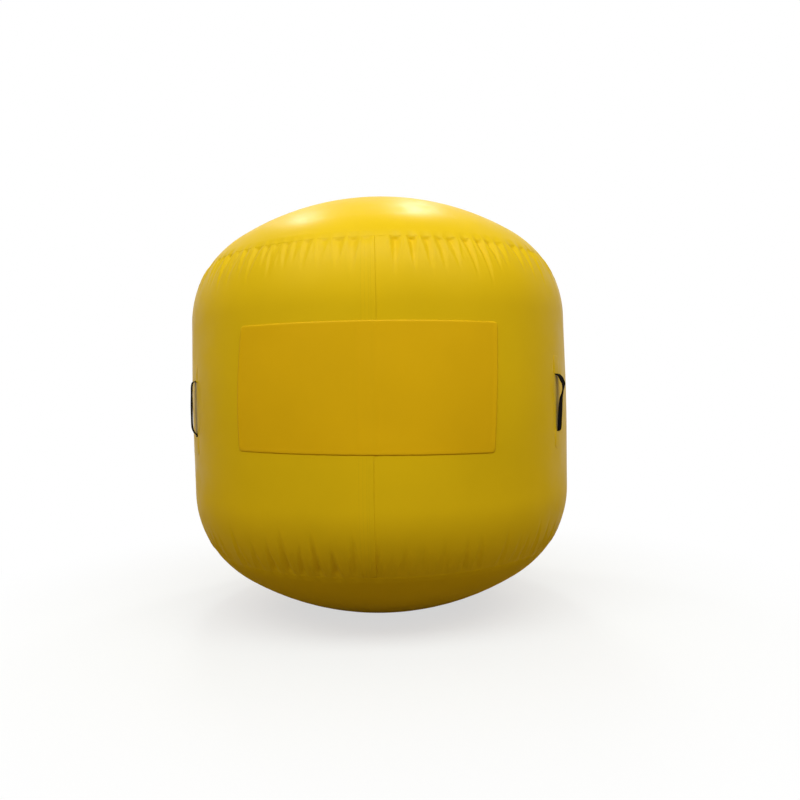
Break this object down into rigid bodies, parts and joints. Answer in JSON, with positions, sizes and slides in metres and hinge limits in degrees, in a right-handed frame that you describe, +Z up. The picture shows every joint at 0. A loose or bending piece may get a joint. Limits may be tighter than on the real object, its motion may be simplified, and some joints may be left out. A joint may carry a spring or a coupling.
{
  "type": "regatta marker buoy",
  "caption": "Inflatable barrel-shaped race mark with domed ends, a blank sign panel, webbing grab handles, an inflation valve and a mooring ring underneath.",
  "frame": {"origin": "on the ground under the buoy's axis, at the foot it stands on", "axes": "+Z up along the buoy's axis, -Y out through the front, where the sign panel is"},
  "size_m": [1.2, 1.2229, 1.328],
  "materials": {
    "hull_pvc": "semi-gloss PVC-coated fabric, yellow",
    "sign_pvc": "semi-gloss PVC sheet, warmer yellow, blank",
    "webbing": "woven black webbing",
    "steel": "bright stainless rod",
    "valve_soft": "soft black flange and flap",
    "valve_hard": "black moulded plastic",
    "valve_cap": "black moulded plastic, ribbed"
  },
  "bodies": {
    "hull": {"wall_panel_1": "hull_pvc", "wall_panel_2": "hull_pvc", "wall_panel_3": "hull_pvc", "top_disc": "hull_pvc", "bottom_disc": "hull_pvc", "sign_panel": "sign_pvc", "handle_strap_1": "webbing", "handle_strap_2": "webbing", "handle_strap_3": "webbing", "mooring_tab": "webbing", "handle_patch_1_upper": "hull_pvc", "handle_patch_1_lower": "hull_pvc", "handle_patch_2_upper": "hull_pvc", "handle_patch_2_lower": "hull_pvc", "handle_patch_3_upper": "hull_pvc", "handle_patch_3_lower": "hull_pvc", "mooring_patch": "hull_pvc", "valve_flange": "valve_soft", "valve_flap": "valve_soft", "valve_base": "valve_hard", "valve_keeper": "valve_hard"},
    "mooring_ring": {"mooring_ring": "steel"},
    "valve_cap": {"valve_cap": "valve_cap"}
  },
  "joints": [
    {"name": "mooring_ring_swing", "type": "hinge", "parent": "hull", "child": "mooring_ring", "pos_m": [0, -0.02, 0.00879], "axis": [-1, 0, 0], "range_deg": [0, 165]},
    {"name": "valve_cap_hinge", "type": "hinge", "parent": "hull", "child": "valve_cap", "pos_m": [0, 0.027, 1.32088], "axis": [-1, 0, 0], "range_deg": [0, 135]}
  ]
}
